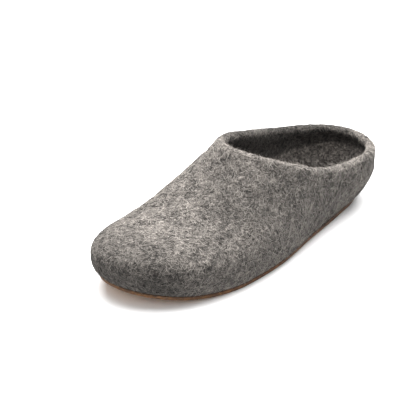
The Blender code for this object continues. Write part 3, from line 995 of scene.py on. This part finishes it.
def felt_shell_rings(widest, side, inset):
    """The rings of the shell's closed wall, each with the name of its region."""
    lines = wall_lines(widest, side)
    normals = wall_normals(lines)
    up = unit(lines[:, -1] - lines[:, -2])
    inner = lines - rim_thickness()[None, :, None] * normals
    inner_widest = inset_ring(widest, np.full(len(widest), FELT_THICKNESS), girth_z)
    nothing = np.zeros(len(widest))
    under = turned_under(widest, nothing, inset + SOLE_SHOWS, felt_under, HEEL_TUCK)
    parts = [("turn", ring) for ring in under]
    parts += [("outside", lines[:, row]) for row in range(WALL_ROWS)]
    parts += [("rim", ring) for ring in rim_rings(lines[:, -1], normals[:, -1], up)]
    parts += [("inside", inner[:, row]) for row in reversed(range(1, WALL_ROWS))]
    parts.append(("inside", inner_widest))
    under = reversed(turned_under(widest, nothing + FELT_THICKNESS, inset * INNER_TURN, felt_floor))
    parts += [("floor", ring) for ring in under]
    return parts


def distance_to(points, line):
    """From each point to the nearest point of a line."""
    return np.min([np.linalg.norm(points - place, axis=1) for place in line], axis=0)


def paint_felt_shell(mesh, points, region, from_edge):
    """Where loose wool grows, and painted light and shade on the felt. The points have no lumps yet."""
    outside = (region == "outside") | (region == "turn")
    on_rim, inside = region == "rim", region == "inside"
    x, y, z = points.T
    up_facing = np.clip(vertex_normals(mesh)[:, 2], 0, 1)

    grown = np.where(outside, eased((z - felt_under(y)) / NAP_REACH), 0)
    paint(mesh, "nap", grown + RIM_NAP * on_rim + INSIDE_NAP * inside)

    # The toe's front wall is darker, partly as wool and partly as painted shade.
    toe_wall = eased((-92 * MM - y) / (25 * MM)) * eased((34 * MM - z) / (12 * MM))
    # Painted light on up-facing tops, a painted highlight on the rim and painted shade inside.
    pale = TOP_PALE * up_facing * outside + RIM_PALE * on_rim + INSIDE_PALE * inside
    paint(mesh, "pale", pale + TOE_WALL_PALE * toe_wall * outside)

    toe_top = eased((-94 * MM - y) / (24 * MM)) * outside
    heel = eased((y - 60 * MM) / (50 * MM)) * outside
    lateral = eased(x / (45 * MM)) * outside
    wall = (1 - eased(up_facing / 0.97)) * outside
    # Painted shade inside, on steep walls, on the toe's front wall and end, at the heel and laterally.
    shade = INSIDE_SHADE * inside + WALL_SHADE * wall + TOE_WALL_SHADE * toe_wall * outside
    shade = shade + TOE_TOP_SHADE * toe_top + HEEL_SHADE * heel + LATERAL_SHADE * lateral
    # A painted highlight along the rim's edge and painted shade on its medial side.
    lip = np.exp(-((from_edge / LIP_REACH) ** 2)) * ~inside
    medial = eased((4 * MM - x) / (14 * MM)) * eased(y / (25 * MM))
    tint = lip * (LIP_TINT + MEDIAL_LIP_TINT * medial)
    # Patches of painted light and painted shade on the outside.
    tint = tint + outside * (spread_along(points, LIGHT_AND_SHADE_PATCHES) + OUTSIDE_TINT)
    # The felt's colour is multiplied by this painted light and shade.
    paint(mesh, "painted_light_and_shade", 1.0 - shade + tint)


def make_felt_shell(widest, side, inset, centre):
    parts = felt_shell_rings(widest, side, inset)
    collar = [ring for region, ring in parts if region == "outside"][-1] - (centre, 0, 0)
    inner_collar = [ring for region, ring in parts if region == "rim"][-1] - (centre, 0, 0)
    rings = [ring for _, ring in parts]
    shell = piece_from_rings("felt_shell", rings, felt_under, felt_floor, centre)
    points = vertex_places(shell.data)
    region = np.repeat([name for name, _ in parts], len(widest))
    region = np.concatenate([region, np.full(len(points) - len(region), "floor")])

    from_rim = distance_to(points, collar)
    groove = np.exp(-(((from_rim - GROOVE_BELOW) / GROOVE_HALF_WIDTH) ** 2))
    from_edge = np.where(region == "inside", distance_to(points, inner_collar), from_rim)
    from_edge = np.where(region == "rim", 0, from_edge)
    lip = np.exp(-((from_edge / RIM_LUMPS_REACH) ** 2))
    felt_shape(shell.data, lip, (region == "outside") * groove)
    paint_felt_shell(shell.data, points, region, from_edge)
    return shell


def make_footbed(widest, inset, centre):
    """The insole: a flat felt pad with a soft edge, hollow where the heel has pressed it."""
    clear = FELT_THICKNESS + inset * INNER_TURN + FIT_GAP
    rings = [inset_ring(widest, clear + 0.6 * MM, footbed_bottom)]
    for turn in np.linspace(0, math.pi, 9):
        edge = clear + 0.9 * MM * (1 - math.sin(turn))
        rise = INSOLE_THICKNESS * (0.5 - 0.46 * math.cos(turn))
        rings.append(inset_ring(widest, edge, lambda y, rise=rise: footbed_bottom(y) + rise))
    for step in (2.2, 4.5, 8.0):
        rings.append(inset_ring(widest, clear + step * MM, footbed_top))
    pad = piece_from_rings("felt_footbed", rings, footbed_bottom, footbed_top, centre)
    mesh = pad.data
    points = vertex_places(mesh)
    upper = vertex_normals(mesh)[:, 2] > 0.5
    heel = (points[:, 0] / (20 * MM)) ** 2 + ((points[:, 1] - 0.088) / (26 * MM)) ** 2
    pressed = 1.0 * MM * np.exp(-heel) + 0.35 * MM
    points[:, 2] += np.where(upper, lumps_over(points, FOOTBED_LUMPS) - pressed, 0)
    move_vertices(mesh, points)
    paint(mesh, "nap", np.where(upper, 1.0, 0.0))
    paint(mesh, "pale", np.where(upper, -0.05, -0.2))
    # Painted light makes the whole pad lighter.
    paint(mesh, "painted_light_and_shade", np.full(len(points), FOOTBED_PAINTED_LIGHT))
    return pad


# The leather's edge from its underside up: how far in and how high, in millimetres, and its share of the
# cut edge's look and of the painted shade under the felt.
Edge = namedtuple("Edge", "into rise cut glue")
LEATHER_EDGE = (
    Edge(0.75, 0.00, 0.0, 0.0),
    Edge(0.30, 0.10, 0.6, 0.0),
    Edge(0.08, 0.30, 1.0, 0.0),
    Edge(0.00, 0.80, 1.0, 0.0),
    Edge(0.00, 1.50, 1.0, 0.0),
    Edge(0.00, 2.20, 1.0, 0.0),
    Edge(0.10, 2.65, 1.0, 0.5),
    Edge(0.40, 2.90, 1.0, 1.0),
    Edge(0.90, 3.00, 0.6, 1.0),
    Edge(2.50, 3.00, 0.0, 1.0),
)


def make_leather_sole(widest, inset, centre):
    """The outsole with its cut edge a little rounded and uneven."""
    heelward = eased((widest[:, 1] - HEEL_LEATHER_START) / HEEL_LEATHER_REACH)
    inset = inset - HEEL_LEATHER_SHOWS * heelward
    wobble = lumps_over(widest, LEATHER_LUMPS)
    rings = []
    for row in LEATHER_EDGE:
        place = inset + row.into * MM + wobble * (1 if row.cut else 0)
        rings.append(inset_ring(widest, place, lambda y, rise=row.rise: ground_gap(y) + rise * MM))
    sole = piece_from_rings("leather_sole", rings, ground_gap, sole_top, centre)
    rest = np.zeros(len(sole.data.vertices) - len(rings) * len(widest))
    for name, column in (("cut_edge", "cut"), ("overhang_shade", "glue")):
        shares = np.repeat([getattr(row, column) for row in LEATHER_EDGE], len(widest))
        paint(sole.data, name, np.concatenate([shares, rest]))
    return sole


def finish_piece(piece, slot, *nodes):
    """Puts a piece on the one body and says which solids it replaces. The slot is not used."""
    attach(piece, "root")
    if nodes:
        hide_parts(*nodes)


def make_slipper():
    widest, side = widest_ring()
    inset = sole_inset(widest[:, 1])
    centre = (widest[:, 0].min() + widest[:, 0].max()) / 2
    felt = wool_felt("heathered grey wool felt")
    shell = make_felt_shell(widest, side, inset, centre)
    shell.data.materials.append(felt)
    footbed = make_footbed(widest, inset, centre)
    footbed.data.materials.append(felt)
    sole = make_leather_sole(widest, inset, centre)
    sole.data.materials.append(tan_leather("tan sole leather"))

    tree = strands_tree()
    pale_wool = loose_wool("pale wool fibres", *PALE_WOOL)
    dark_wool = loose_wool("charcoal wool fibres", *DARK_WOOL)
    shell_strands = [
        lay_strands(PALE_LOCKS, shell, pale_wool, tree),
        lay_strands(CHARCOAL_LOCKS, shell, dark_wool, tree),
        lay_strands(FINE_FUZZ, shell, pale_wool, tree),
        lay_strands(COARSE_HAIRS, shell, pale_wool, tree),
    ]
    footbed_strands = lay_strands(FOOTBED_FUZZ, footbed, dark_wool, tree)
    finish_piece(shell, "grey_felt", "upper")
    finish_piece(footbed, "insole_felt", "insole")
    finish_piece(sole, "sole_leather", "outsole")
    for strands in shell_strands:
        finish_piece(strands, "grey_felt")
    finish_piece(footbed_strands, "insole_felt")


# Floor, light and camera.


def make_floor():
    mesh = bpy.data.meshes.new("studio_floor")
    far = FLOOR_REACH
    corners = [(-far, -far, 0), (far, -far, 0), (far, far, 0), (-far, far, 0)]
    mesh.from_pydata(corners, [], [(0, 1, 2, 3)])
    mesh.materials.append(white_floor("white studio floor"))
    floor = new_object("studio_floor", mesh)


def make_light():
    """One soft box aimed at the slipper, and the white studio around it."""
    lamp = bpy.data.lights.new("overhead_softbox", "AREA")
    lamp.shape = "RECTANGLE"
    lamp.size, lamp.size_y = SOFTBOX_SIDE, SOFTBOX_SIDE
    lamp.energy = SOFTBOX_POWER
    holder = new_object("overhead_softbox", lamp)
    holder.location = SOFTBOX_PLACE
    holder.rotation_euler = (-Vector(SOFTBOX_PLACE)).to_track_quat("-Z", "Y").to_euler()

    world = bpy.data.worlds.new("studio")
    world.use_nodes = True
    background = world.node_tree.nodes["Background"]
    background.inputs["Color"].default_value = (1, 1, 1, 1)
    background.inputs["Strength"].default_value = STUDIO_STRENGTH
    scene = bpy.context.scene
    scene.world = world
    scene.view_settings.view_transform = "Standard"
    scene.view_settings.look = "None"


def make_camera():
    turn, rise = math.radians(CAMERA_AZIMUTH), math.radians(CAMERA_ELEVATION)
    flat = math.cos(rise)
    back = Vector((math.sin(turn) * flat, -math.cos(turn) * flat, math.sin(rise)))
    lens = bpy.data.cameras.new("photo_camera")
    lens.sensor_fit = "HORIZONTAL"
    lens.sensor_width = 36
    lens.lens = CAMERA_LENS
    lens.clip_start = 0.01
    camera = new_object("photo_camera", lens)
    camera.location = Vector(CAMERA_TARGET) + CAMERA_DISTANCE * back
    camera.rotation_euler = back.to_track_quat("Z", "Y").to_euler()
    bpy.context.scene.camera = camera


make_camera()
make_light()
make_floor()
make_slipper()
